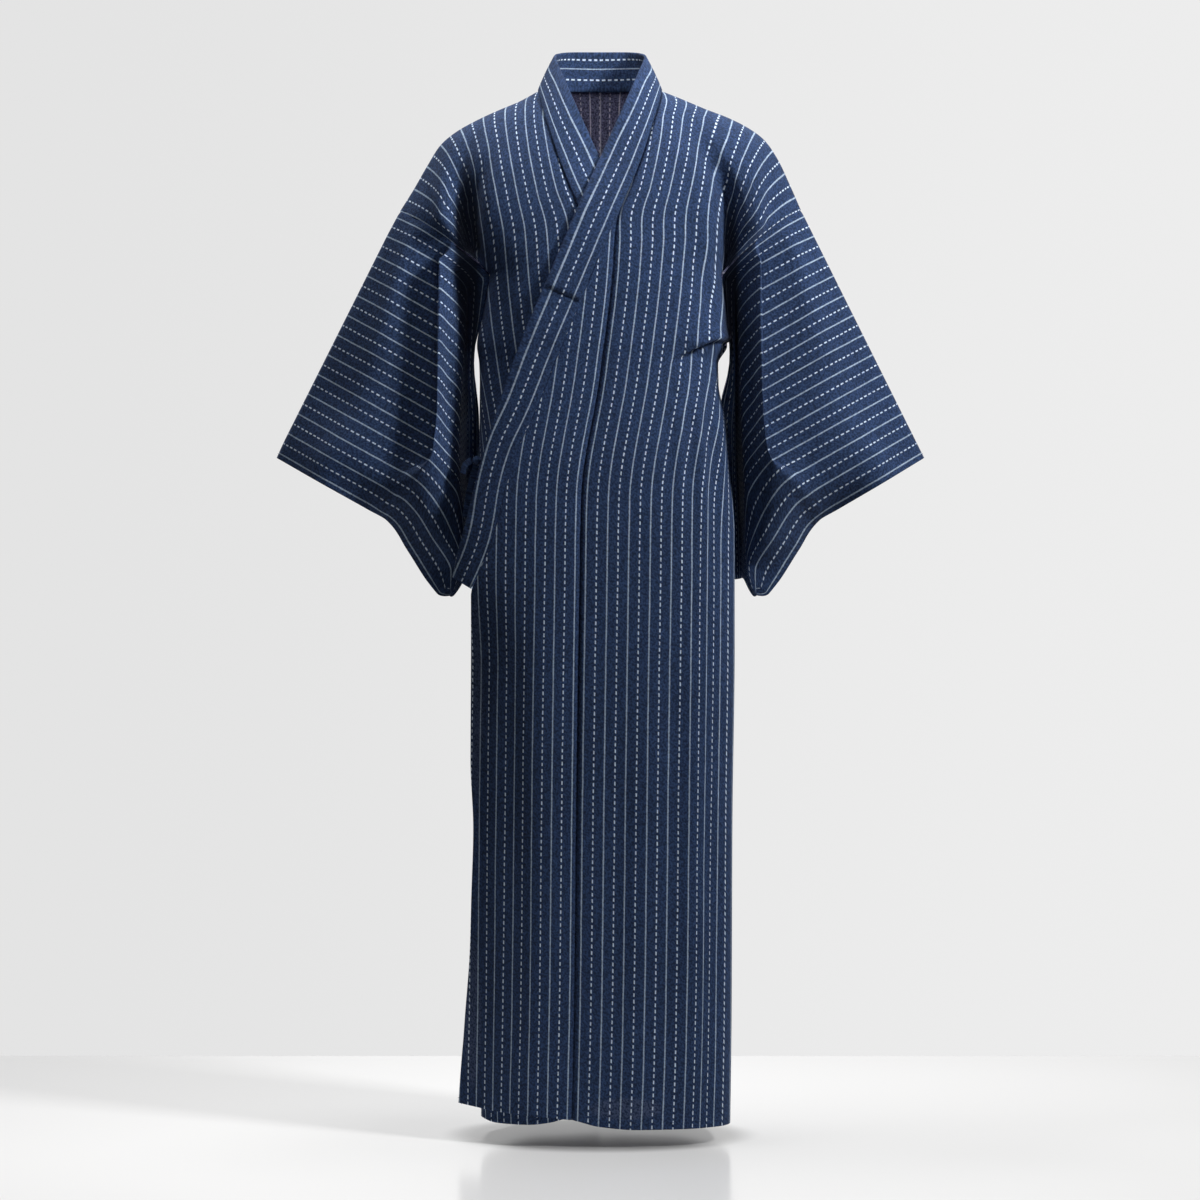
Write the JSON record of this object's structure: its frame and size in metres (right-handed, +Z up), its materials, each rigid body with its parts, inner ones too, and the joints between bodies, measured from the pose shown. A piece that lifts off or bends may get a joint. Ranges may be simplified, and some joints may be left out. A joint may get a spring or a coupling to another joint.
{
  "type": "cotton yukata robe",
  "caption": "Long navy cotton robe with striped cloth, wide hanging sleeves, a banded collar crossed left over right and a small side tie, hollow as if worn.",
  "frame": {"origin": "between the shoulders at the base of the neck, where the wearer carries the robe", "axes": "+Z up along the wearer's back, -Y to the front, +X to the wearer's left"},
  "size_m": [0.8568, 0.2523, 1.4162],
  "materials": {
    "body_left_cloth": "matte plain-woven cotton",
    "body_right_cloth": "matte plain-woven cotton",
    "overlap_left_cloth": "matte plain-woven cotton",
    "overlap_right_cloth": "matte plain-woven cotton",
    "sleeve_left_cloth": "matte plain-woven cotton",
    "sleeve_right_cloth": "matte plain-woven cotton",
    "collar_cloth": "matte plain-woven cotton",
    "over_collar_cloth": "matte plain-woven cotton",
    "tie_front_cloth": "matte plain-woven cotton",
    "tie_side_cloth": "matte plain-woven cotton",
    "tie_knot_cloth": "matte plain-woven cotton",
    "tie_end_long_cloth": "matte plain-woven cotton",
    "tie_end_short_cloth": "matte plain-woven cotton"
  },
  "bodies": {
    "root": {"body_left": "body_left_cloth", "body_right": "body_right_cloth", "overlap_left": "overlap_left_cloth", "overlap_right": "overlap_right_cloth", "sleeve_left": "sleeve_left_cloth", "sleeve_right": "sleeve_right_cloth", "collar": "collar_cloth", "over_collar": "over_collar_cloth", "tie_front": "tie_front_cloth", "tie_side": "tie_side_cloth", "tie_knot": "tie_knot_cloth", "tie_end_long": "tie_end_long_cloth", "tie_end_short": "tie_end_short_cloth"}
  },
  "joints": []
}
